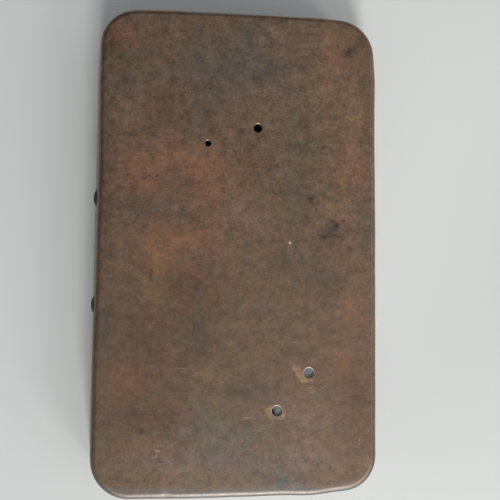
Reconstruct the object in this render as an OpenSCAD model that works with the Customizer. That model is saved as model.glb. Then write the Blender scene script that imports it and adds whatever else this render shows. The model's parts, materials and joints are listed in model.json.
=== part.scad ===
// Box-formed kick plate: a pressed bronze cover with leaning skirts over a folded steel
// base plate. Its right skirt hooks over two ears of the base plate, and two screws hold
// its left skirt. Two top-hat rails carry the face from behind.
// Frame: +Z out of the face, +Y up the plate, +X to the right, origin under the middle
// of the plate on the plane of its rim, where it meets the door. Millimetres.

/* [Cover] */
// Length of the face, where the skirt would meet it in a sharp edge
cover_l = 200; // [180:1:300]
// Width of the face, measured the same way
cover_w = 115.5; // [110:0.5:180]
// Height of the face above the rim
cover_h = 30; // [26:0.5:40]
// Thickness of the cover sheet
cover_t = 1; // [0.8:0.1:1.5]
// Lean of the skirt from upright, in degrees
skirt_lean = 10.5; // [2:0.5:14]
// Outer radius of the rolled edge between face and skirt
edge_r = 3; // [2:0.1:5]
// Radius of the four corners, seen from the front
corner_r = 15; // [8:0.5:24]

/* [Holes in the face] */
// Diameter of the small upper hole
hole_a_d = 2.4; // [2:0.1:5]
// Diameter of the other upper hole
hole_b_d = 3.5; // [2:0.1:5]
// Diameter of each of the two lower holes
hole_cd_d = 4.2; // [2:0.1:5]
// Bevel left on each hole's edge by deburring
hole_bevel = 0.25; // [0.1:0.05:0.4]
// Place of the small upper hole, right of the middle
hole_a_x = -13.3; // [-15:0.1:-8]
// Place of the small upper hole, above the middle
hole_a_y = 43.6; // [20:0.1:70]
// Place of the other upper hole, right of the middle
hole_b_x = 7.5; // [4:0.1:12]
// Place of the other upper hole, above the middle
hole_b_y = 50.7; // [20:0.1:70]
// Place of the upper of the two lower holes, right of the middle
hole_c_x = 29.5; // [26:0.1:31]
// Place of the upper of the two lower holes, above the middle
hole_c_y = -51.1; // [-60:0.1:-20]
// Place of the lowest hole, right of the middle
hole_d_x = 16.3; // [16:0.1:22]
// Place of the lowest hole, above the middle
hole_d_y = -66.4; // [-75:0.1:-20]

/* [Base plate] */
// Thickness of the base plate sheet
base_t = 1.5; // [1:0.1:2]
// Length of each folded side flange
flange_l = 90; // [70:1:120]
// Height of the flanges' top edge above the rim
flange_top = 25.5; // [24:0.5:26]
// Outer radius of the folds in the base plate
fold_r = 3; // [2.5:0.1:4]
// Width of the relief notch at each end of a fold
notch_w = 2; // [1:0.5:4]
// Width of the slot along the middle of the base plate
slot_w = 8; // [5:0.5:9]
// Length of the slot along the middle of the base plate
slot_l = 120; // [60:1:150]
// Diameter of the holes for the screws into the door
door_hole_d = 4.5; // [3.5:0.1:6]
// Distance of the door screw holes from side to side
door_hole_dx = 100; // [98:1:108]
// Distance of the door screw holes along the plate
door_hole_dy = 160; // [130:1:170]

/* [Support rails] */
// Thickness of the rail sheet
rail_t = 1.2; // [0.8:0.1:1.5]
// Length of each rail
rail_l = 170; // [150:1:176]
// Width over the crown of each rail
crown_w = 21; // [18:0.5:22]
// Distance of each rail's middle from the middle of the plate
rail_x = 24.5; // [24.5:0.5:26]
// Outer radius of the folds in the rails
rail_fold_r = 2.4; // [2:0.1:3]
// Width of the flat part of each rail foot
foot_w = 7; // [6:0.5:8]
// Diameter of the rivets that hold the rails
rivet_d = 3; // [2.5:0.1:3.5]
// Diameter of the rivets' domed heads
rivet_head_d = 5.4; // [4.5:0.1:5.8]
// Height of the rivets' domed heads
rivet_head_h = 1.1; // [0.8:0.1:1.5]
// Diameter of the rivets' sunk heads at the back of the base plate
rivet_sunk_d = 4.6; // [4:0.1:5]
// Distance between the rivets along a rail
rivet_pitch = 70; // [50:1:74]

/* [Side screws] */
// Distance between the two screws, and between the two ears on the other side
screw_pitch = 45; // [30:0.5:60]
// How far above the middle of the plate the middle of each pair is
screw_mid_y = -1.3; // [-8:0.1:8]
// Height of screws and ears above the rim, at the outside of the skirt
screw_z = 19; // [16:0.5:20]
// Diameter of the screw shank
screw_d = 4; // [3:0.5:4]
// Length of the screw under its head
screw_l = 7; // [6.5:0.5:10]
// Diameter of the screw head
head_d = 7.8; // [7:0.1:9]
// Height of the domed screw head
head_h = 1.4; // [1.2:0.1:2.2]
// Width across the flats of the hexagon socket
socket_af = 2.5; // [2:0.1:3]
// Depth of the hexagon socket
socket_depth = 1.1; // [0.8:0.1:1.4]

/* [Hook ears] */
// Width of each ear bent out of the right flange
ear_w = 10; // [6:0.5:14]
// Inner radius of the bend between flange and ear
ear_bend_r = 0.5; // [0.3:0.1:0.8]
// Gap round an ear, in its slot and in the opening it was cut from
ear_gap = 0.3; // [0.2:0.05:0.5]

/* [Clinch nuts] */
// Diameter of the nut body inside the flange
nut_d = 8; // [7:0.1:9]
// Length of the nut body
nut_l = 3.5; // [3:0.1:4.5]
// Diameter of the spigot that is pressed into the flange
spigot_d = 5.4; // [5:0.1:6]

/* [Fits] */
// Gap between the skirt and the base plate inside it
cover_gap = 0.3; // [0.2:0.05:0.6]
// Clearance all round the screws in cover and nuts
screw_clearance = 0.1; // [0.05:0.05:0.3]
// Clearance all round pressed spigots and closed rivets
press_clearance = 0.02; // [0.01:0.01:0.05]

/* [Hidden] */
$fn = 72;
// Length added where a cut has to run past a surface
over = 1;
// Run of the skirt from the face's sharp edge out to the rim
skirt_run = cover_h * tan(skirt_lean);
// Centre of the rolled edge, from the centre of a corner
roll_x = corner_r - edge_r * tan(45 - skirt_lean / 2);
roll_z = cover_h - edge_r;
// Distance, square to the skirt, from its outside to the flange
flange_in = cover_t + cover_gap;
// Where the outside of a flange would meet the back plane
flange_x = cover_w / 2 + skirt_run - flange_in / cos(skirt_lean);
// Centre of the fold at the foot of a flange
fold_x = flange_x - fold_r / tan(45 - skirt_lean / 2);
// How much further out than the face the base plate's edge lies
base_grow = (cover_h - base_t) * tan(skirt_lean) - flange_in / cos(skirt_lean);
// Where the outside of the skirt is at the height of the screws
screw_x = cover_w / 2 + (cover_h - screw_z) * tan(skirt_lean);
// Depth of a flange's inside, where a nut's shoulder sits, behind the outside of the skirt
nut_seat = flange_in + base_t;
// Start of an ear's bend above the middle of the ear, and length of sheet cut for it
ear_top = base_t / 2 + ear_bend_r;
ear_cut = PI / 2 * (ear_bend_r + base_t / 2) + flange_in - ear_bend_r + ear_gap;
// Top of the crown of a rail, which bears on the back of the face
crown_z = cover_h - cover_t;
// Middle of a rail foot, from the middle of the rail
foot_x = crown_w / 2 + (rail_fold_r - rail_t) + foot_w / 2;
// Depth of the rivets' sunk heads
sunk_h = (rivet_sunk_d - rivet_d) / 2;

// Section of the cover from the centre of a corner outwards, moved in by inset
module skirt_section(inset, low) {
    top = cover_h - inset;
    roll_r = edge_r - inset;
    rim_x = corner_r + (cover_h - low) * tan(skirt_lean) - inset / cos(skirt_lean);
    polygon([
        [0, low],
        [rim_x, low],
        [roll_x + roll_r * cos(skirt_lean), roll_z + roll_r * sin(skirt_lean)],
        [roll_x, roll_z],
        [roll_x, top],
        [0, top]
    ]);
    intersection() {
        translate([roll_x, roll_z]) circle(roll_r);
        translate([roll_x, roll_z - edge_r]) square(2 * edge_r);
    }
}

// Closed body of the cover: four turned corners, four straight sides and the middle
module tray(inset, low) {
    mid_x = cover_w / 2 - corner_r;
    mid_y = cover_l / 2 - corner_r;
    translate([-mid_x, -mid_y, low])
        cube([2 * mid_x, 2 * mid_y, cover_h - inset - low]);
    for (turn = [0, 180]) rotate(turn) {
        translate([mid_x, 0, 0]) rotate([90, 0, 0])
            linear_extrude(2 * mid_y, center = true) skirt_section(inset, low);
        translate([0, mid_y, 0]) rotate([90, 0, 90])
            linear_extrude(2 * mid_x, center = true) skirt_section(inset, low);
        translate([mid_x, mid_y, 0])
            rotate_extrude(angle = 90) skirt_section(inset, low);
        translate([mid_x, -mid_y, 0]) rotate(-90)
            rotate_extrude(angle = 90) skirt_section(inset, low);
    }
}

// Through hole in the face with a deburred edge
module face_hole(x, y, d) {
    translate([x, y, cover_h - cover_t - over])
        cylinder(d = d, h = cover_t + 2 * over);
    translate([x, y, cover_h - hole_bevel])
        cylinder(d1 = d, d2 = d + 4 * hole_bevel, h = 2 * hole_bevel);
}

// Puts children at the two fixings of the right skirt; z is 0 on the skirt's outside
module at_ears() {
    for (y = [-screw_pitch / 2, screw_pitch / 2])
        translate([screw_x, screw_mid_y + y, screw_z])
            rotate([0, 90 - skirt_lean, 0])
                children();
}

// The same on the left skirt, where the fixings are screws
module at_screws() {
    mirror([1, 0, 0]) at_ears() children();
}

// Draws a section, with x outwards and y up the skirt, and gives it a width along the skirt
module along_skirt(width) {
    rotate([90, -90, 0]) linear_extrude(width, center = true) children();
}

// Puts children on the axes of all the rivets; their z is 0 on the back plane
module at_rivets() {
    for (x = [-rail_x - foot_x, -rail_x + foot_x, rail_x - foot_x, rail_x + foot_x])
        for (y = [-rivet_pitch, 0, rivet_pitch])
            translate([x, y, 0]) children();
}

// Quarter, or a little more, of a sheet fold: a ring cut to the angles given
module fold_section(outer, sheet, start, sweep) {
    reach = 2 * outer;
    intersection() {
        difference() {
            circle(outer);
            circle(outer - sheet);
        }
        polygon([
            [0, 0],
            reach * [cos(start), sin(start)],
            reach * [cos(start + sweep / 2), sin(start + sweep / 2)],
            reach * [cos(start + sweep), sin(start + sweep)]
        ]);
    }
}

module cover() {
    color("#6A584A") difference() {
        tray(0, 0);
        tray(cover_t, -over);
        face_hole(hole_a_x, hole_a_y, hole_a_d);
        face_hole(hole_b_x, hole_b_y, hole_b_d);
        face_hole(hole_c_x, hole_c_y, hole_cd_d);
        face_hole(hole_d_x, hole_d_y, hole_cd_d);
        at_screws()
            translate([0, 0, -cover_t - over])
                cylinder(d = screw_d + 2 * screw_clearance, h = cover_t + 2 * over);
        at_ears()
            along_skirt(ear_w + 2 * ear_gap)
                translate([-cover_t - over, -base_t / 2 - ear_gap])
                    square([cover_t + 2 * over, base_t + 2 * ear_gap]);
    }
}

// Outline of the flat of the base plate, before the flanges are folded
module base_outline() {
    x = cover_w / 2 + base_grow;
    y = cover_l / 2 + base_grow;
    r = corner_r + base_grow;
    square([2 * x, 2 * (y - r)], center = true);
    square([2 * (x - r), 2 * y], center = true);
    for (side = [-1, 1])
        for (end = [-1, 1])
            translate([side * (x - r), end * (y - r)]) circle(r);
}

// Space that a flange and the flat beside it enclose, moved in by inset
module flange_space(inset, top) {
    wall_x = flange_x - top * tan(skirt_lean) - inset / cos(skirt_lean);
    bend_r = fold_r - inset;
    polygon([
        [0, inset],
        [fold_x, inset],
        [fold_x, fold_r],
        [fold_x + bend_r * cos(skirt_lean), fold_r + bend_r * sin(skirt_lean)],
        [wall_x, top],
        [0, top]
    ]);
    translate([fold_x, fold_r]) circle(bend_r);
}

// Section of one folded side flange, with a short strip of the flat that it grows from
module flange_section() {
    difference() {
        flange_space(0, flange_top);
        flange_space(base_t, flange_top + over);
        translate([-over, -over]) square([fold_x - notch_w + over, base_t + 2 * over]);
    }
}

// Ear bent out of the right flange, with a root that keys into the flange above it
module hook_ear() {
    along_skirt(ear_w) {
        translate([ear_bend_r - flange_in, -base_t / 2])
            square([flange_in - ear_bend_r, base_t]);
        translate([ear_bend_r - flange_in, ear_top])
            fold_section(ear_bend_r + base_t, base_t, 180, 90);
        translate([-nut_seat + base_t / 4, ear_top])
            square([base_t / 2, over]);
    }
}

module base_plate() {
    color("#8A8F8C") at_ears() hook_ear();
    color("#8A8F8C") difference() {
        union() {
            linear_extrude(base_t) difference() {
                base_outline();
                for (side = [-1, 1])
                    translate([side * (fold_x + cover_w / 2), 0])
                        square([cover_w, flange_l + 2 * notch_w], center = true);
                square([slot_w, slot_l - slot_w], center = true);
                for (end = [-1, 1])
                    translate([0, end * (slot_l - slot_w) / 2]) circle(d = slot_w);
                for (x = [-door_hole_dx / 2, door_hole_dx / 2])
                    for (y = [-door_hole_dy / 2, door_hole_dy / 2])
                        translate([x, y]) circle(d = door_hole_d);
            }
            for (turn = [0, 180])
                rotate(turn) rotate([90, 0, 0])
                    linear_extrude(flange_l, center = true) flange_section();
        }
        at_screws()
            translate([0, 0, -nut_seat - over])
                cylinder(d = spigot_d + 2 * press_clearance, h = base_t + 2 * over);
        at_ears()
            along_skirt(ear_w + 2 * ear_gap)
                translate([-nut_seat - over, ear_top - ear_cut])
                    square([base_t + 2 * over, ear_cut]);
        at_rivets() {
            translate([0, 0, -over])
                cylinder(d = rivet_d + 2 * press_clearance, h = base_t + 2 * over);
            translate([0, 0, -press_clearance])
                cylinder(d1 = rivet_sunk_d + 2 * press_clearance,
                         d2 = rivet_d + 2 * press_clearance, h = sunk_h);
        }
    }
}

// Right half of a rail's top-hat section, from its middle outwards
module half_rail_section() {
    inner_r = rail_fold_r - rail_t;
    half_w = crown_w / 2;
    translate([0, crown_z - rail_t]) square([half_w - rail_fold_r, rail_t]);
    translate([half_w - rail_fold_r, crown_z - rail_fold_r])
        fold_section(rail_fold_r, rail_t, 0, 90);
    translate([half_w - rail_t, base_t + rail_fold_r])
        square([rail_t, crown_z - base_t - 2 * rail_fold_r]);
    translate([half_w + inner_r, base_t + rail_fold_r])
        fold_section(rail_fold_r, rail_t, 180, 90);
    translate([half_w + inner_r, base_t]) square([foot_w, rail_t]);
}

module rail(x) {
    color("#9AA09B") difference() {
        translate([x, 0, 0]) rotate([90, 0, 0])
            linear_extrude(rail_l, center = true) {
                half_rail_section();
                mirror([1, 0]) half_rail_section();
            }
        at_rivets()
            cylinder(d = rivet_d + 2 * press_clearance, h = base_t + rail_t + over);
    }
}

module left_rail() {
    rail(-rail_x);
}

module right_rail() {
    rail(rail_x);
}

// Low dome with its flat side on z = 0
module dome(d, h) {
    ball_r = (d * d / 4 + h * h) / (2 * h);
    rotate_extrude() intersection() {
        translate([0, h - ball_r]) circle(ball_r);
        square([d, h]);
    }
}

module rail_rivets() {
    color("#A9A59C") at_rivets() {
        cylinder(d = rivet_d, h = base_t + rail_t);
        cylinder(d1 = rivet_sunk_d, d2 = rivet_d, h = sunk_h);
        translate([0, 0, base_t + rail_t]) dome(rivet_head_d, rivet_head_h);
    }
}

module side_screws() {
    color("#2A2A28") at_screws() difference() {
        union() {
            translate([0, 0, -screw_l]) cylinder(d = screw_d, h = screw_l);
            dome(head_d, head_h);
        }
        translate([0, 0, head_h - socket_depth])
            cylinder(d = socket_af / cos(30), h = socket_depth + over, $fn = 6);
    }
}

module clinch_nuts() {
    color("#B0AE9E") at_screws() difference() {
        union() {
            translate([0, 0, -nut_seat]) cylinder(d = spigot_d, h = base_t);
            translate([0, 0, -nut_seat - nut_l]) cylinder(d = nut_d, h = nut_l);
        }
        translate([0, 0, -nut_seat - nut_l - over])
            cylinder(d = screw_d + 2 * screw_clearance, h = base_t + nut_l + 2 * over);
    }
}

cover();
base_plate();
left_rail();
right_rail();
rail_rivets();
side_screws();
clinch_nuts();
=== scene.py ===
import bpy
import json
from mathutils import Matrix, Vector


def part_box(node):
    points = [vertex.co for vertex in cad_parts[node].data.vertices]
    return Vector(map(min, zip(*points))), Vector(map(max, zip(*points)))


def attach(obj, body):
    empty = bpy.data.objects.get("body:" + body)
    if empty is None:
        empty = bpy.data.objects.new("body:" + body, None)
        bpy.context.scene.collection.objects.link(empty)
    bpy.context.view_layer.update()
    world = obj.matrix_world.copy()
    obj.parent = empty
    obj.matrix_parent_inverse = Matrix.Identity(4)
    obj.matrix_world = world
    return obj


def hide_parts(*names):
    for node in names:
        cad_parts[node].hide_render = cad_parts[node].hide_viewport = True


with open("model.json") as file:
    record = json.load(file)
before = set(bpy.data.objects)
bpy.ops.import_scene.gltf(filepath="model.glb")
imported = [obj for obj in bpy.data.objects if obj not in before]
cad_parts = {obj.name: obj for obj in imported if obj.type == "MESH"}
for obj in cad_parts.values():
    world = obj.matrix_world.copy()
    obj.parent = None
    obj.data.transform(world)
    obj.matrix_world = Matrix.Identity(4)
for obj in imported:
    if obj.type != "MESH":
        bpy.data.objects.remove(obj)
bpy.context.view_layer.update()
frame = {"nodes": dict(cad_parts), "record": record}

import json
import math

import bmesh
import bpy
from mathutils import Matrix, Vector, noise
from mathutils.bvhtree import BVHTree

# ---- The photograph's view -------------------------------------------------------------
# The points say where things show in the photograph's 500 x 500 frame. The camera stands
# where a plate of this size gives those edges and holes: nearly square over the face.
MM = 0.001
PHOTO_W, PHOTO_H = 500, 500
points = {
    "left_x": 92,
    "right_x": 375,
    "top_y": 12,
    "bottom_y": 496,
    "small_upper_hole": (208, 143),
    "upper_hole": (258, 128),
    "lower_right_hole": (309, 373),
    "lower_hole": (277, 411),
    "upper_screw": (94, 198),
    "lower_screw": (92, 304),
    "edge_nick": (166, 494),
    "pale_fleck": (290, 243),
    "short_scratch": (248, 418),
    "curved_scratch": (319, 389),
}
face_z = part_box("cover")[1].z
camera_data = bpy.data.cameras.new("photo_camera")
camera_data.sensor_fit = "AUTO"
camera_data.sensor_width = 36
camera_data.lens = 43.2
camera_data.clip_start = 10 * MM
camera = bpy.data.objects.new("photo_camera", camera_data)
bpy.context.scene.collection.objects.link(camera)
bpy.context.scene.camera = camera
camera_place = Vector((-18.42, -15.88, 276.62)) * MM
aim = Vector((4.64 * MM, -0.63 * MM, face_z))
camera_roll = math.radians(0.52)
back = (camera_place - aim).normalized()
right = Vector((0, 1, 0)).cross(back).normalized()
turn = Matrix((right, back.cross(right), back)).transposed().to_4x4()
camera.matrix_world = (Matrix.Translation(camera_place) @ turn
                       @ Matrix.Rotation(camera_roll, 4, "Z"))
bpy.context.view_layer.update()

# ---- Table top -------------------------------------------------------------------------
# The plate lies on a white laminate board, a matt melamine film, with painted shade that
# darkens it towards the left and far to the lower right. It lies a hair below the plate's rim, so no
# faces share a plane.
def srgb(code):
    channels = [int(code[i:i + 2], 16) / 255 for i in (1, 3, 5)]
    linear = [c / 12.92 if c <= 0.04045 else ((c + 0.055) / 1.055) ** 2.4 for c in channels]
    return (*linear, 1)


def add(tree, kind, settings=None, **inputs):
    """Adds a node. An input is named by its socket, or i and its number, and is a value, a
    socket, or a node, which gives its first output in use."""
    node = tree.nodes.new(kind)
    for name, value in (settings or {}).items():
        setattr(node, name, value)
    for name, value in inputs.items():
        socket = node.inputs[int(name[1:]) if name[1:].isdigit() else name.replace("_", " ")]
        if isinstance(value, bpy.types.Node):
            value = next(output for output in value.outputs if output.enabled)
        if isinstance(value, bpy.types.NodeSocket):
            tree.links.new(value, socket)
        else:
            socket.default_value = value
    return node


def new_material(name):
    material = bpy.data.materials.new(name)
    material.use_nodes = True
    tree = material.node_tree
    tree.nodes.clear()
    shader = add(tree, "ShaderNodeBsdfPrincipled")
    add(tree, "ShaderNodeOutputMaterial", Surface=shader.outputs["BSDF"])
    return material, tree, shader


def white_laminate():
    material, tree, shader = new_material("white_laminate")
    place = add(tree, "ShaderNodeTexCoord").outputs["Object"]
    clouds = add(tree, "ShaderNodeTexNoise", Vector=place, Scale=1 / (111 * MM), Detail=3.0)
    tone = add(tree, "ShaderNodeMix", {"data_type": "RGBA"}, i0=clouds.outputs["Fac"],
               i6=srgb("#D3D5D4"), i7=srgb("#D9DBDA"))
    # Painted shade: the board is darkened towards the left and far to the lower right
    for way, start, end, dimmed_tone in (((1, 0, 0), 70 * MM, -70 * MM, "#C5C8C8"),
                                  ((0.7, -0.7, 0), 20 * MM, 120 * MM, "#CACCCC")):
        along = add(tree, "ShaderNodeVectorMath", {"operation": "DOT_PRODUCT"}, i0=place,
                    i1=way).outputs["Value"]
        painted_dimming = add(tree, "ShaderNodeMapRange", {"interpolation_type": "SMOOTHSTEP"},
                     Value=along, From_Min=start, From_Max=end)
        tone = add(tree, "ShaderNodeMix", {"data_type": "RGBA"},
                   i0=painted_dimming.outputs["Result"], i6=tone.outputs[2], i7=srgb(dimmed_tone))
    tree.links.new(tone.outputs[2], shader.inputs["Base Color"])
    shader.inputs["Roughness"].default_value = 0.6
    shader.inputs["Specular IOR Level"].default_value = 0.25
    return material


floor_reach = 2.5
floor_z = -0.05 * MM
floor_mesh = bpy.data.meshes.new("table_top")
floor_mesh.from_pydata(
    [(-floor_reach, -floor_reach, floor_z), (floor_reach, -floor_reach, floor_z),
     (floor_reach, floor_reach, floor_z), (-floor_reach, floor_reach, floor_z)],
    [], [(0, 1, 2, 3)])
floor_mesh.materials.append(white_laminate())
floor = bpy.data.objects.new("table_top", floor_mesh)
bpy.context.scene.collection.objects.link(floor)

# ---- Room light ------------------------------------------------------------------------
# A window stands low beyond the plate's bottom end, so its edge shines and the shadow falls
# up the frame; a weaker one is to its right. The room behind them is pale to the lower right
# and dim to the upper left.
window_high, window_distance = 0.4, 1.5
for name, way, width, power in (("window", (0.15, -1.66, 1.0), 0.32, 21.5),
                                ("side_window", (0.95, -1.15, 1.0), 0.3, 4.0)):
    window_data = bpy.data.lights.new(name, "AREA")
    window_data.shape = "RECTANGLE"
    window_data.size = width
    window_data.size_y = window_high
    window_data.energy = power
    window_data.color = srgb("#FFFDF8")[:3]
    window = bpy.data.objects.new(name, window_data)
    bpy.context.scene.collection.objects.link(window)
    window_place = Vector(way).normalized() * window_distance
    window.matrix_world = (Matrix.Translation(window_place)
                           @ window_place.to_track_quat("Z", "Y").to_matrix().to_4x4())

world = bpy.data.worlds.new("room")
bpy.context.scene.world = world
world.use_nodes = True
tree = world.node_tree
tree.nodes.clear()
way = add(tree, "ShaderNodeTexCoord").outputs["Generated"]
paleness = add(tree, "ShaderNodeVectorMath", {"operation": "DOT_PRODUCT"}, i0=way,
               i1=(0.65, -0.76, 0.0)).outputs["Value"]
glow = add(tree, "ShaderNodeMapRange", Value=paleness, From_Min=-0.8, From_Max=0.8,
           To_Min=0.05, To_Max=1.0)
sky = add(tree, "ShaderNodeBackground", Color=srgb("#EEF1F3"), Strength=glow.outputs["Result"])
add(tree, "ShaderNodeOutputWorld", Surface=sky.outputs["Background"])
bpy.context.scene.view_settings.view_transform = "Standard"

# ---- Base plate, rails and their rivets ------------------------------------------------
# Folded from zinc-plated sheet steel; the passivated zinc is a dull, faintly spangled grey
# that whitens where damp has reached it. The rivets are plain aluminium.
def zinc_plate(name, light, dark, spangle_mm):
    material, tree, shader = new_material(name)
    place = add(tree, "ShaderNodeTexCoord").outputs["Object"]
    spangle = add(tree, "ShaderNodeTexVoronoi", {"feature": "F1"}, Vector=place,
                  Scale=1 / (spangle_mm * MM))
    grains = add(tree, "ShaderNodeSeparateColor", Color=spangle.outputs["Color"])
    bloom = add(tree, "ShaderNodeTexNoise", Vector=place, Scale=1 / (14 * MM), Detail=6.0,
                Roughness=0.65)
    mixed = add(tree, "ShaderNodeMath", {"operation": "MULTIPLY_ADD"},
                i0=grains.outputs["Red"], i1=0.3, i2=bloom.outputs["Fac"])
    shade = add(tree, "ShaderNodeMapRange", Value=mixed.outputs[0], From_Min=0.35,
                From_Max=0.95)
    tone = add(tree, "ShaderNodeMix", {"data_type": "RGBA"}, i0=shade.outputs["Result"],
               i6=srgb(dark), i7=srgb(light))
    tree.links.new(tone.outputs[2], shader.inputs["Base Color"])
    rough = add(tree, "ShaderNodeMapRange", Value=mixed.outputs[0], From_Min=0.3,
                From_Max=1.0, To_Min=0.38, To_Max=0.6)
    tree.links.new(rough.outputs["Result"], shader.inputs["Roughness"])
    grit = add(tree, "ShaderNodeTexNoise", Vector=place, Scale=1 / (0.6 * MM), Detail=3.0)
    bump = add(tree, "ShaderNodeBump", Height=grit.outputs["Fac"], Strength=0.25,
               Distance=0.02 * MM)
    tree.links.new(bump.outputs["Normal"], shader.inputs["Normal"])
    shader.inputs["Metallic"].default_value = 0.85
    return material


base_zinc = zinc_plate("zinc_plated_base", "#A3A7A4", "#7C807D", 2.4)
rail_zinc = zinc_plate("zinc_plated_rail", "#7F847C", "#646962", 2.0)
rivet_aluminium = zinc_plate("plain_aluminium", "#B9B8B2", "#94938D", 0.8)
for node_name, material in (("base_plate", base_zinc), ("left_rail", rail_zinc),
                            ("right_rail", rail_zinc), ("rail_rivets", rivet_aluminium)):
    for slot in frame["nodes"][node_name].material_slots:
        slot.material = material

# ---- Side screws and clinch nuts -------------------------------------------------------
# The two screws of the left skirt are blackened steel: an oiled oxide that greys on its high
# spots. The nuts they turn in are pressed into the flange and zinc plated, faintly yellow.
def black_oxide():
    material, tree, shader = new_material("black_oxide_steel")
    place = add(tree, "ShaderNodeTexCoord").outputs["Object"]
    wear = add(tree, "ShaderNodeTexNoise", Vector=place, Scale=1 / (1.5 * MM), Detail=6.0,
               Roughness=0.7)
    worn = add(tree, "ShaderNodeMapRange", Value=wear.outputs["Fac"], From_Min=0.5,
               From_Max=0.75)
    tone = add(tree, "ShaderNodeMix", {"data_type": "RGBA"}, i0=worn.outputs["Result"],
               i6=srgb("#1B1B1A"), i7=srgb("#3A3835"))
    tree.links.new(tone.outputs[2], shader.inputs["Base Color"])
    rough = add(tree, "ShaderNodeMapRange", Value=wear.outputs["Fac"], To_Min=0.3,
                To_Max=0.62)
    tree.links.new(rough.outputs["Result"], shader.inputs["Roughness"])
    shader.inputs["Metallic"].default_value = 0.7
    return material


screw_black = black_oxide()
nut_zinc = zinc_plate("yellow_zinc_nut", "#B5AE90", "#8F8A70", 0.9)
for node_name, material in (("side_screws", screw_black), ("clinch_nuts", nut_zinc)):
    for slot in frame["nodes"][node_name].material_slots:
        slot.material = material

# ---- Cover: the pressed sheet ----------------------------------------------------------
# One millimetre bronze sheet pressed over a form: flat face, rolled edge and leaning skirt.
# Its edges have waved a little in use, and the bottom edge has a small nick.
cover_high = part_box("cover")[1]
lean = math.radians(10.5)
edge_r = 3 * MM
corner_r = 15 * MM
sheet = 1 * MM
step = 1.5 * MM
rim_round = 0.15 * MM
skirt_run = cover_high.z * math.tan(lean)
core_x = cover_high.x - skirt_run - corner_r
core_y = cover_high.y - skirt_run - corner_r
roll_x = corner_r - edge_r * math.tan(math.pi / 4 - lean / 2)
roll_z = cover_high.z - edge_r


def skirt_section(inset):
    """Points (outwards, height) from a corner's centre over the roll and down to the rim."""
    flat_steps, roll_steps, wall_steps = 5, 10, 12
    roll_r = edge_r - inset
    section = [(roll_x * i / flat_steps, cover_high.z - inset) for i in range(flat_steps)]
    for i in range(roll_steps + 1):
        angle = math.pi / 2 - (math.pi / 2 - lean) * i / roll_steps
        section.append((roll_x + roll_r * math.cos(angle), roll_z + roll_r * math.sin(angle)))
    start_out, start_z = section[-1]
    for i in range(1, wall_steps + 1):
        z = start_z + (rim_round - start_z) * i / wall_steps
        section.append((start_out + (start_z - z) * math.tan(lean), z))
    inwards = -1 if inset == 0 else 1
    section.append((section[-1][0] + inwards * rim_round, 0))
    return section


def spaced(half):
    count = round(2 * half / step)
    return [-half + 2 * half * i / count for i in range(count + 1)]


def around():
    """Core points and outward directions, once round the plate against the clock."""
    corner_steps = 18
    xs, ys = spaced(core_x), spaced(core_y)
    sides = [[(core_x, y) for y in ys], [(x, core_y) for x in reversed(xs)],
             [(-core_x, y) for y in reversed(ys)], [(x, -core_y) for x in xs]]
    path = []
    for quarter, side in enumerate(sides):
        path += [(place, quarter * math.pi / 2) for place in side]
        path += [(side[-1], (quarter + i / corner_steps) * math.pi / 2)
                 for i in range(1, corner_steps)]
    return path


def add_shell(mesh, inset):
    """Adds the outer or the inner surface of the cover and returns its rim's vertices."""
    section = skirt_section(inset)
    rings = []
    for (x, y), angle in around():
        way_x, way_y = math.cos(angle), math.sin(angle)
        rings.append([mesh.verts.new((x + way_x * out, y + way_y * out, z))
                      for out, z in section])
    for one, other in zip(rings, rings[1:] + rings[:1]):
        for j in range(len(section) - 1):
            mesh.faces.new((one[j], one[j + 1], other[j + 1], other[j]))
    xs, ys = spaced(core_x), spaced(core_y)
    grid = [[mesh.verts.new((x, y, cover_high.z - inset)) for x in xs] for y in ys]
    for row, above in zip(grid, grid[1:]):
        for i in range(len(xs) - 1):
            mesh.faces.new((row[i], row[i + 1], above[i + 1], above[i]))
    return [ring[-1] for ring in rings]


def sight(point):
    """Direction in which a point of the photograph is seen from the camera."""
    longest = max(PHOTO_W, PHOTO_H)
    ray = Vector((point[0] - PHOTO_W / 2 + camera_data.shift_x * longest,
                  PHOTO_H / 2 - point[1] + camera_data.shift_y * longest,
                  -longest * camera_data.lens / camera_data.sensor_width))
    return (camera.matrix_world.to_3x3() @ ray).normalized()


def place_on(carrier, point):
    """Place on a carrier's BVHTree that shows at a point, or the nearest to its ray."""
    direction = sight(point)
    hit = carrier.ray_cast(camera_place, direction)[0]
    if hit is None:
        beside = camera_place + direction * (camera_place.z - face_z) / -direction.z
        hit = carrier.find_nearest(beside)[0]
    return hit


shell = bmesh.new()
outer_rim = add_shell(shell, 0)
inner_rim = add_shell(shell, sheet)
for i in range(len(outer_rim)):
    j = (i + 1) % len(outer_rim)
    shell.faces.new((outer_rim[i], inner_rim[i], inner_rim[j], outer_rim[j]))
bmesh.ops.remove_doubles(shell, verts=shell.verts, dist=0.001 * MM)
bmesh.ops.dissolve_degenerate(shell, edges=shell.edges, dist=0.001 * MM)
bmesh.ops.recalc_face_normals(shell, faces=shell.faces)
nick_place = place_on(BVHTree.FromBMesh(shell), points["edge_nick"])
nick_depth, nick_reach = 0.3 * MM, 1.5 * MM
# The whole edge waves by so many mm, and has drawn in a little
wave, wave_length, drawn_in = 0.15, 14 * MM, 0.1
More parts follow.
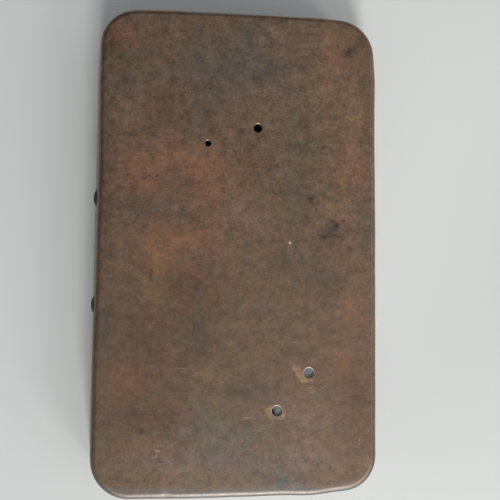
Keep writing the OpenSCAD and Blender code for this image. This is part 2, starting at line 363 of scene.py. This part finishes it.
# Where the edge bulges out, or in where negative: (right, above, reach, outwards), in mm
BULGES = [(-16, -100, 45, 0.95), (30, -100, 8, 0.5), (43, -99, 7, -0.8), (57, 5, 60, 0.35),
          (57, 73, 10, 0.4), (50, 94, 14, -0.9), (-44, 99, 12, -0.6), (-57, 70, 22, 0.4),
          (-57, -48, 34, 0.5)]
for vert in shell.verts:
    outwards = Vector((max(abs(vert.co.x) - core_x, 0) * (1 if vert.co.x > 0 else -1),
                       max(abs(vert.co.y) - core_y, 0) * (1 if vert.co.y > 0 else -1), 0))
    if outwards.length < 0.001 * MM:
        continue
    edge_share = min(outwards.length / roll_x, 1) ** 3 * vert.co.z / cover_high.z
    push = wave * noise.noise(vert.co / wave_length) - drawn_in
    for x, y, reach, amount in BULGES:
        away = (vert.co.to_2d() / MM - Vector((x, y))).length / reach
        push += amount * math.exp(-away * away)
    dent = math.exp(-((vert.co - nick_place).length / nick_reach) ** 2) * nick_depth
    vert.co += outwards.normalized() * (push * MM * edge_share - dent)
    vert.co.z -= 0.5 * dent
cover_mesh = bpy.data.meshes.new("pressed_cover")
shell.to_mesh(cover_mesh)
shell.free()
cover = bpy.data.objects.new("pressed_cover", cover_mesh)
bpy.context.scene.collection.objects.link(cover)

# ---- Cover: the drilled holes ----------------------------------------------------------
# Four plain holes, drilled by hand and deburred, which left a narrow bright bevel. The
# screw holes in the left skirt and the slots for the ears in the right one are cut too.
bevel = 0.3 * MM
carrier = BVHTree.FromObject(cover, bpy.context.evaluated_depsgraph_get())
mounts = {row["name"]: row for row in frame["record"]["mounts"]}
mount_of = {"small_upper_hole": "upper_left_hole", "upper_hole": "upper_right_hole",
            "lower_right_hole": "lower_right_hole", "lower_hole": "lower_middle_hole"}
drills = bmesh.new()


def drill(mesh, place, matrix, section, sides=48):
    """Adds a closed turned cutter with the section (radius, height) about its axis."""
    rings = []
    for radius, z in section:
        rings.append([mesh.verts.new(Matrix.Translation(place) @ matrix @ Vector(
            (radius * math.cos(2 * math.pi * i / sides),
             radius * math.sin(2 * math.pi * i / sides), z))) for i in range(sides)])
    for low, high in zip(rings, rings[1:]):
        for i in range(sides):
            j = (i + 1) % sides
            mesh.faces.new((low[i], low[j], high[j], high[i]))
    mesh.faces.new(list(reversed(rings[0])))
    mesh.faces.new(rings[-1])


hole_places = {}
for name, mount_name in mount_of.items():
    at = mounts[mount_name]["pos_m"]
    hole_places[name] = Vector((at[0], at[1], face_z))
    r = mounts[mount_name]["dims"]["r_mm"] * MM
    drill(drills, hole_places[name], Matrix.Identity(4),
          [(r, -3 * sheet), (r, -bevel), (r + 3 * bevel, 2 * bevel)])
screw_hole_r = 2.1 * MM
slot_high, slot_long = 2.1 * MM, 10.6 * MM
screws_low, screws_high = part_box("side_screws")
fixing_z = (screws_low.z + screws_high.z) / 2
head_r = (screws_high.z - screws_low.z) / 2 / math.cos(lean)
fixing_x = cover_high.x - fixing_z * math.tan(lean)
for y in (screws_low.y + head_r, screws_high.y - head_r):
    tilt = Matrix.Rotation(lean - math.pi / 2, 4, "Y")
    drill(drills, Vector((-fixing_x, y, fixing_z)), tilt,
          [(screw_hole_r, -3 * sheet), (screw_hole_r, 2 * sheet)])
    slot_size = Matrix.Diagonal((slot_high, slot_long, 4 * sheet, 1))
    tilt = Matrix.Rotation(math.pi / 2 - lean, 4, "Y")
    bmesh.ops.create_cube(drills, size=1, matrix=Matrix.Translation((fixing_x, y, fixing_z))
                          @ tilt @ slot_size)
bmesh.ops.recalc_face_normals(drills, faces=drills.faces)
drill_mesh = bpy.data.meshes.new("drills")
drills.to_mesh(drill_mesh)
drills.free()
drill_object = bpy.data.objects.new("drills", drill_mesh)
bpy.context.scene.collection.objects.link(drill_object)
cut = cover.modifiers.new("holes", "BOOLEAN")
cut.operation = "DIFFERENCE"
cut.solver = "EXACT"
cut.object = drill_object
bpy.context.view_layer.update()
cut_mesh = bpy.data.meshes.new_from_object(
    cover.evaluated_get(bpy.context.evaluated_depsgraph_get()))
cover.modifiers.clear()
cover.data = cut_mesh
bpy.data.objects.remove(drill_object)
cut_mesh.shade_smooth()
cut_mesh.set_sharp_from_angle(angle=math.radians(28))

# ---- Cover: patinated bronze -----------------------------------------------------------
# Old bronze sheet: brown oxide, clouded at every scale from grit to hand's breadth, with
# rust-orange blooms, grey-green damp stains, dark specks, and bare metal at the holes.
OXIDE = "#836D5B"
# Each kind of stain has the colour that the plain oxide takes on in the middle of one, and
# places judged: (right of the middle, above it, half width, half height, turn), in mm
# and degrees
STAINS = [
    # Faint warm washes left of the middle and down the right side, and cool ones at both ends
    ("#8D6F5B", [(-22, 16, 22, 26, 0), (47, 20, 7, 50, 0)]),
    ("#816F61", [(-2, 80, 30, 14, 0), (2, -80, 30, 12, 0)]),
    # Rust-orange blooms: two broad ones left of the middle, and a row down the right side
    ("#9A745B", [(-28, 37, 10, 6, 0), (-13, 34, 8, 7, 0), (-21, 2, 11, 5, 25), (-34, 0, 5, 8, 0),
                 (40, 81, 4, 8, 0), (48, 34, 5, 6, 0), (47, -24, 4, 7, 0), (44, -47, 4, 5, 0)]),
    # Redder rust at the edges of the blooms and low on the left
    ("#94705A", [(-37, 28, 6, 7, 0), (-12, 26, 8, 4, 0), (-46, -53, 7, 6, 0), (-48, 90, 6, 5, 0),
                 (-45, 33, 5, 6, 0), (-37, -80, 4, 3, 0)]),
    # Ochre
    ("#90785C", [(-35, -10, 4, 7, 0), (-34, -21, 4, 5, 0), (38, 90, 6, 5, 0), (50, 57, 6, 8, 0),
                 (35, 68, 7, 5, 0), (42, 18, 5, 3, 0), (-12, -51, 4, 3, 0)]),
    # Grey-green verdigris: a broad cloud at the top, the right edge, and spots
    ("#72675B", [(-9, 74, 15, 8, 0), (12, 76, 8, 6, 0), (3, 91, 5, 7, 0), (-14, 56, 5, 8, 0),
                 (-47, 68, 6, 5, 0), (26, 43, 6, 4, -35), (24, 55, 2, 4, 0), (55, 12, 5, 13, 0),
                 (-54, -33, 4, 7, 0), (25, 24, 5, 10, 0), (-28, 17, 5, 5, 0), (20, -94, 5, 3, 0)]),
    # Slate-dark patches, and small nearly black marks
    ("#6D6156", [(40, 6, 6, 4, 35), (21, -4, 6, 3, 0), (37, -13, 5, 6, 0), (-16, -35, 4, 10, 0),
                 (-41, 16, 6, 5, 0), (-23, 27, 5, 4, 0), (-18, 11, 5, 4, 0), (4, -58, 8, 3, 0),
                 (46, 85, 2.5, 2.5, 0)]),
    ("#52443A", [(37, 6, 2, 1, 20), (41, 9, 2, 1, 45), (44, 13, 1, 1, 0), (42, 5, 1, 1, 0),
                 (39, 12, 1, 1, 0), (37, 43, 1.5, 1, 0), (30, 21, 1.5, 1, 0),
                 (12, 33, 1, 1.5, 0), (15, 34, 1, 1, 0), (46, 85, 1, 1, 0), (-36, -11, 1, 2, 0),
                 (1, 48, 1.5, 1.5, 0), (47, 0, 1, 1.5, 20), (-39, -74, 1, 1, 0)]),
    # Dark umber down the left side
    ("#775F4F", [(-36, -40, 20, 22, 0), (-53, 82, 5, 8, 0), (-32, 57, 8, 6, 0), (-40, -68, 14, 7, 0),
                 (-20, -16, 12, 8, 0), (4, 36, 5, 5, 0), (50, -62, 8, 14, 0), (52, 92, 8, 8, 0),
                 (-55, 25, 3, 30, 0), (56, 60, 3, 20, 0), (-27, -72, 4, 3, 0)]),
    # Greyed film towards the bottom: green, faintly blue and rosy
    ("#7B7264", [(-11, -74, 6, 7, 0), (5, -76, 7, 4, 0), (20, -94, 4, 3, 0)]),
    ("#857266", [(-6, -86, 8, 5, 0), (14, -90, 14, 5, 0)]),
    ("#907667", [(31, -84, 9, 8, 0), (2, 14, 8, 6, 0), (-44, 56, 7, 7, 0), (14, 91, 5, 3, 0),
                 (8, 64, 8, 4, 0), (30, -66, 12, 7, 0), (-24, -90, 10, 5, 0)]),
]


def patinated_bronze():
    material, tree, shader = new_material("patinated_bronze")
    metres = add(tree, "ShaderNodeTexCoord").outputs["Object"]
    place = add(tree, "ShaderNodeVectorMath", {"operation": "SCALE"}, Vector=metres,
                Scale=1 / MM)
    flat = add(tree, "ShaderNodeVectorMath", {"operation": "MULTIPLY"}, i0=place, i1=(1, 1, 0))
    axes = add(tree, "ShaderNodeSeparateXYZ", Vector=place).outputs
    height, depth = axes["Y"], axes["Z"]

    def clouds(size_mm, detail, rough, shift=0.0):
        """Clouds of a size in millimetres; another shift gives other clouds of that size."""
        moved = add(tree, "ShaderNodeVectorMath", {"operation": "ADD"}, i0=place,
                    i1=(shift, shift, shift))
        return add(tree, "ShaderNodeTexNoise", Vector=moved, Scale=1 / size_mm, Detail=detail,
                   Roughness=rough)

    def varied(colour, cloud, shares):
        """Colour brightened by shares of red, green and blue where a cloud is over 0.5."""
        levels = add(tree, "ShaderNodeVectorMath", {"operation": "MULTIPLY_ADD"}, i0=cloud,
                     i1=shares, i2=[1 - share / 2 for share in shares])
        return add(tree, "ShaderNodeVectorMath", {"operation": "MULTIPLY"}, i0=colour,
                   i1=levels)

    def spot(at, x, y, half_w, half_h, turn):
        """Soft oval spot on a plane that carries millimetres."""
        inside = add(tree, "ShaderNodeMapping", {"vector_type": "TEXTURE"}, Vector=at,
                     Location=(x, y, 0), Rotation=(0, 0, math.radians(turn)),
                     Scale=(half_w, half_h, 1))
        return add(tree, "ShaderNodeTexGradient", {"gradient_type": "QUADRATIC_SPHERE"},
                   Vector=inside).outputs["Fac"]

    def streak(start, end, width):
        """Soft line on the flat between two places in millimetres."""
        along = Vector(end) - Vector(start)
        middle = (Vector(start) + Vector(end)) / 2
        turn = math.degrees(math.atan2(along.y, along.x))
        return spot(flat, middle.x, middle.y, along.length / 2, width / 2, turn)

    def together(marks):
        """Sum of soft marks."""
        total = 0.0
        for mark in marks:
            total = add(tree, "ShaderNodeMath", {"operation": "ADD"}, i0=mark, i1=total)
        return total

    # Stains and bare spots have ragged edges: clouds of 10 mm and less push them about
    push = add(tree, "ShaderNodeVectorMath", {"operation": "MULTIPLY_ADD"},
               i0=clouds(10, 5.0, 0.75).outputs["Color"], i1=(1, 1, 0), i2=(-0.5, -0.5, 0))
    stain_place = add(tree, "ShaderNodeVectorMath", {"operation": "MULTIPLY_ADD"}, i0=push,
                      i1=(12, 12, 0), i2=flat)
    ragged = add(tree, "ShaderNodeVectorMath", {"operation": "MULTIPLY_ADD"}, i0=push,
                 i1=(5, 5, 0), i2=flat)

    # What the stains change, in shares of the plain oxide; each fades out beyond its size
    fade = 2.4
    oxide = srgb(OXIDE)[:3]
    change = (0, 0, 0)
    for code, stains in STAINS:
        share = [level / plain - 1 for level, plain in zip(srgb(code), oxide)]
        stained = together(spot(stain_place, x, y, fade * half_w, fade * half_h, turn)
                           for x, y, half_w, half_h, turn in stains)
        change = add(tree, "ShaderNodeVectorMath", {"operation": "MULTIPLY_ADD"}, i0=stained,
                     i1=share, i2=change)
    mottled = add(tree, "ShaderNodeMapRange", Value=clouds(3, 4.0, 0.8, shift=20),
                  From_Min=0.3, From_Max=0.7, To_Min=0.5, To_Max=1.4)
    change = add(tree, "ShaderNodeVectorMath", {"operation": "SCALE"}, Vector=change,
                 Scale=mottled)
    colour = add(tree, "ShaderNodeVectorMath", {"operation": "MULTIPLY_ADD"}, i0=change,
                 i1=oxide, i2=oxide)

    # The colour is paler and warmer towards the top
    upward = add(tree, "ShaderNodeMapRange", {"data_type": "FLOAT_VECTOR"}, Vector=height,
                 i7=(-100, -100, -100), i8=(100, 100, 100), i9=(0.88, 0.90, 0.92),
                 i10=(1.21, 1.18, 1.15))
    colour = add(tree, "ShaderNodeVectorMath", {"operation": "MULTIPLY"}, i0=colour, i1=upward)

    # Grit that is coarser towards the top, and fine warm, cool, green and rosy tints
    grit = clouds(5, 5.0, 1.0)
    over = add(tree, "ShaderNodeMath", {"operation": "SUBTRACT"}, i0=grit, i1=0.5)
    coarser = add(tree, "ShaderNodeMapRange", Value=height, From_Min=-60, From_Max=40,
                  To_Min=0.8, To_Max=1.45)
    coarse = add(tree, "ShaderNodeMath", {"operation": "MULTIPLY_ADD"}, i0=over, i1=coarser,
                 i2=0.5)
    colour = varied(colour, coarse, (1.9, 1.9, 1.9))
    colour = varied(colour, clouds(7, 5.0, 0.9, shift=40), (0.5, 0.04, -0.55))
    colour = varied(colour, clouds(9, 5.0, 0.9, shift=60), (-0.2, 0.3, -0.2))

    # Painted shade: faces that turn from upright, the skirts, are darkened, most where they meet the
    # roll
    normal = add(tree, "ShaderNodeNewGeometry").outputs["Normal"]
    upright = add(tree, "ShaderNodeSeparateXYZ", Vector=normal).outputs["Z"]
    skirt_shade_level = add(tree, "ShaderNodeMapRange", Value=depth, From_Min=20, From_Max=27,
                   To_Min=0.75, To_Max=0.42)
    skirt_painted_shade = add(tree, "ShaderNodeMapRange", Value=upright, From_Min=0.25, From_Max=0.8,
                 To_Min=skirt_shade_level, To_Max=1.0)
    colour = add(tree, "ShaderNodeVectorMath", {"operation": "SCALE"}, Vector=colour,
                 Scale=skirt_painted_shade)

    # The bottom edge, round to its corners, has been scuffed grey
    facing = add(tree, "ShaderNodeVectorMath", {"operation": "DOT_PRODUCT"}, i0=normal,
                 i1=(0.1, -1, 0)).outputs["Value"]
    downward = add(tree, "ShaderNodeMapRange", Value=facing, From_Min=0.05, From_Max=0.35)
    bottom = add(tree, "ShaderNodeMapRange", Value=height, From_Min=-95.0, From_Max=-98.8)
    raised = add(tree, "ShaderNodeMapRange", Value=depth, From_Min=24.0, From_Max=27.5)
    worn = add(tree, "ShaderNodeMath", {"operation": "MAXIMUM"}, i0=downward, i1=bottom)
    worn = add(tree, "ShaderNodeMath", {"operation": "MULTIPLY"}, i0=worn, i1=raised)
    patchy = add(tree, "ShaderNodeMapRange", Value=clouds(1.2, 3.0, 0.7), From_Min=0.35,
                 From_Max=0.6, To_Min=0.65, To_Max=0.95)
    scuffed = add(tree, "ShaderNodeMath", {"operation": "MULTIPLY"}, i0=worn, i1=patchy)
    colour = add(tree, "ShaderNodeMix", {"data_type": "RGBA"}, i0=scuffed, i6=colour,
                 i7=srgb("#626161"))

    # Dark specks, most of them in the upper half
    grains = add(tree, "ShaderNodeTexVoronoi", {"feature": "F1"}, Vector=place,
                 Scale=1 / 1.3, Randomness=1.0).outputs["Distance"]
    speck_size = add(tree, "ShaderNodeMapRange", Value=clouds(9, 3.0, 0.6), From_Min=0.35,
                     From_Max=0.7, To_Min=0.0, To_Max=0.36)
    speck = add(tree, "ShaderNodeMath", {"operation": "SUBTRACT"}, i0=speck_size, i1=grains)
    speck = add(tree, "ShaderNodeMapRange", Value=speck, From_Min=0.0, From_Max=0.12)
    darkness = add(tree, "ShaderNodeMapRange", Value=height, From_Min=-60, From_Max=30,
                   To_Min=0.12, To_Max=0.6)
    speck = add(tree, "ShaderNodeMath", {"operation": "MULTIPLY"}, i0=speck, i1=darkness)
    colour = add(tree, "ShaderNodeMix", {"data_type": "RGBA"}, i0=speck, i6=colour,
                 i7=srgb("#41382F"))

    # Bare metal around the lower holes, where a tool has slipped
    lower_right = hole_places["lower_right_hole"] / MM
    lower = hole_places["lower_hole"] / MM
    slips = ((lower_right.x - 4.2, lower_right.y + 0.2, 8.6, 3.6, -57),
             (lower_right.x - 0.6, lower_right.y - 2.9, 5.2, 2.3, 10),
             (lower.x - 2.9, lower.y + 0.1, 3.6, 4.6, 0),
             (lower.x + 0.6, lower.y - 2.4, 5.0, 1.6, 8),
             (lower.x + 2.9, lower.y - 0.8, 1.4, 3.0, 0))
    slipped = add(tree, "ShaderNodeMapRange", Value=together(spot(ragged, *slip) for slip in slips),
                  From_Min=0.12, From_Max=0.5)
    rubbed = add(tree, "ShaderNodeMapRange", Value=grit, From_Min=0.4, From_Max=0.6,
                 To_Min=0.2, To_Max=0.9)
    bare = add(tree, "ShaderNodeMath", {"operation": "MULTIPLY"}, i0=slipped, i1=rubbed)
    colour = add(tree, "ShaderNodeMix", {"data_type": "RGBA"}, i0=bare, i6=colour,
                 i7=srgb("#C59E7A"))

    # Scratches and a pale fleck
    short = place_on(carrier, points["short_scratch"]) / MM
    curved = place_on(carrier, points["curved_scratch"]) / MM
    fleck = place_on(carrier, points["pale_fleck"]) / MM
    lines = [((short.x - 6, short.y + 0.1), (short.x + 6, short.y - 0.1), 0.5),
             ((curved.x - 6, curved.y - 1.6), (curved.x + 1, curved.y - 0.9), 0.4),
             ((curved.x - 1, curved.y - 1.3), (curved.x + 5, curved.y + 2.6), 0.4),
             ((curved.x - 7, curved.y + 0.2), (curved.x, curved.y + 0.6), 0.35),
             ((-29, -48.8), (-17, -49.2), 0.4), ((-25, -50.2), (-19, -50.8), 0.35),
             ((51.2, -77.4), (50.4, -79.8), 0.8), ((50.6, -79.4), (51.0, -80.8), 0.9),
             ((-34.0, -80.6), (-29.6, -82.8), 0.8), ((-33.4, -82.8), (-29.8, -81.0), 0.7),
             ((-32.6, -78.0), (-30.8, -81.0), 0.7), ((-31.6, -82.0), (-32.8, -85.6), 0.7),
             ((-34.2, -85.0), (-32.2, -83.2), 0.6), ((-30.6, -78.8), (-30.2, -80.6), 0.6)]
    scratch = add(tree, "ShaderNodeMapRange", Value=together(streak(*line) for line in lines),
                  From_Min=0.05, From_Max=0.5)
    faint = add(tree, "ShaderNodeMath", {"operation": "MULTIPLY"}, i0=scratch, i1=0.55)
    colour = add(tree, "ShaderNodeMix", {"data_type": "RGBA"}, i0=faint, i6=colour,
                 i7=srgb("#C4AD97"))
    chip = add(tree, "ShaderNodeMapRange", Value=spot(flat, fleck.x, fleck.y, 0.7, 1.1, 20),
               From_Min=0.15, From_Max=0.4)
    colour = add(tree, "ShaderNodeMix", {"data_type": "RGBA"}, i0=chip, i6=colour,
                 i7=srgb("#F3E6D2"))
    tree.links.new(colour.outputs[2], shader.inputs["Base Color"])

    # Oxide is satin, bare spots are smoother, and the scuffs are dull
    rough = add(tree, "ShaderNodeMapRange", Value=grit, From_Min=0.3, From_Max=0.7,
                To_Min=0.29, To_Max=0.42)
    rough = add(tree, "ShaderNodeMath", {"operation": "MULTIPLY_ADD"}, i0=bare, i1=-0.12,
                i2=rough)
    rough = add(tree, "ShaderNodeMath", {"operation": "MULTIPLY_ADD"}, i0=scuffed, i1=0.17,
                i2=rough)
    tree.links.new(rough.outputs[0], shader.inputs["Roughness"])
    shader.inputs["Metallic"].default_value = 0.85

    # Pitting of half a millimetre and broader oxide crust
    pits = clouds(0.8, 3.0, 0.7, shift=80)
    relief = add(tree, "ShaderNodeMath", {"operation": "MULTIPLY_ADD"}, i0=pits, i1=0.5,
                 i2=grit)
    relief = add(tree, "ShaderNodeMath", {"operation": "MULTIPLY_ADD"}, i0=scratch, i1=-0.4,
                 i2=relief)
    bump = add(tree, "ShaderNodeBump", Height=relief, Strength=0.4, Distance=0.1 * MM)
    tree.links.new(bump.outputs["Normal"], shader.inputs["Normal"])
    return material


def cut_bronze():
    """Cut bevels of the holes: bronze that has dulled, and is paler low on the face."""
    material, tree, shader = new_material("cut_bronze")
    place = add(tree, "ShaderNodeTexCoord").outputs["Object"]
    dull = add(tree, "ShaderNodeTexNoise", Vector=place, Scale=1 / (0.7 * MM), Detail=4.0)
    tone = add(tree, "ShaderNodeMix", {"data_type": "RGBA"}, i0=dull.outputs["Fac"],
               i6=srgb("#695C52"), i7=srgb("#8E8276"))
    height = add(tree, "ShaderNodeSeparateXYZ", Vector=place).outputs["Y"]
    paler_low = add(tree, "ShaderNodeMapRange", Value=height, From_Min=0.0, From_Max=-30 * MM)
    tone = add(tree, "ShaderNodeMix", {"data_type": "RGBA"}, i0=paler_low.outputs["Result"],
               i6=tone.outputs[2], i7=srgb("#D2C8BC"))
    tree.links.new(tone.outputs[2], shader.inputs["Base Color"])
    shader.inputs["Metallic"].default_value = 0.9
    shader.inputs["Roughness"].default_value = 0.48
    return material


cut_mesh.materials.clear()
cut_mesh.materials.append(patinated_bronze())
cut_mesh.materials.append(cut_bronze())
drilled_reach, flat_cosine = 3 * MM, 0.93
for polygon in cut_mesh.polygons:
    near = any((polygon.center - place).to_2d().length < drilled_reach
               for place in hole_places.values())
    sloping = abs(polygon.normal.z) < flat_cosine
    if near and sloping and polygon.center.z > face_z - sheet:
        polygon.material_index = 1
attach(cover, "root")
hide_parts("cover")

# ---- What shows where ------------------------------------------------------------------
# Points of the frame at which the cover's edge, the screw heads, the holes and the marks show.
frame["nodes"]["cover"].hide_set(True)
bpy.context.view_layer.update()
graph = bpy.context.evaluated_depsgraph_get()


def shown_at(place):
    """Point of the photograph's frame at which a place shows."""
    seen = camera.matrix_world.inverted() @ place
    longest = max(PHOTO_W, PHOTO_H)
    scale = longest * camera_data.lens / camera_data.sensor_width / -seen.z
    return (PHOTO_W / 2 - camera_data.shift_x * longest + seen.x * scale,
            PHOTO_H / 2 + camera_data.shift_y * longest - seen.y * scale)


def seen_points(obj):
    """Points of the frame at which the vertices of an object show."""
    mesh = obj.evaluated_get(graph).data
    found = []
    for vert in mesh.vertices:
        ray = vert.co - camera_place
        hit = bpy.context.scene.ray_cast(graph, camera_place, ray.normalized())
        if not hit[0] or (hit[1] - camera_place).length > ray.length - 0.1 * MM:
            found.append(shown_at(vert.co))
    return found


edge = seen_points(cover)
heads = seen_points(frame["nodes"]["side_screws"])
for name, place in hole_places.items():
    x, y = shown_at(place)
head_spread = 25
for name in ("upper_screw", "lower_screw"):
    near = [p for p in heads if abs(p[1] - points[name][1]) < head_spread]
for name in ("edge_nick", "pale_fleck", "short_scratch", "curved_scratch"):
    x, y = shown_at(place_on(carrier, points[name]))
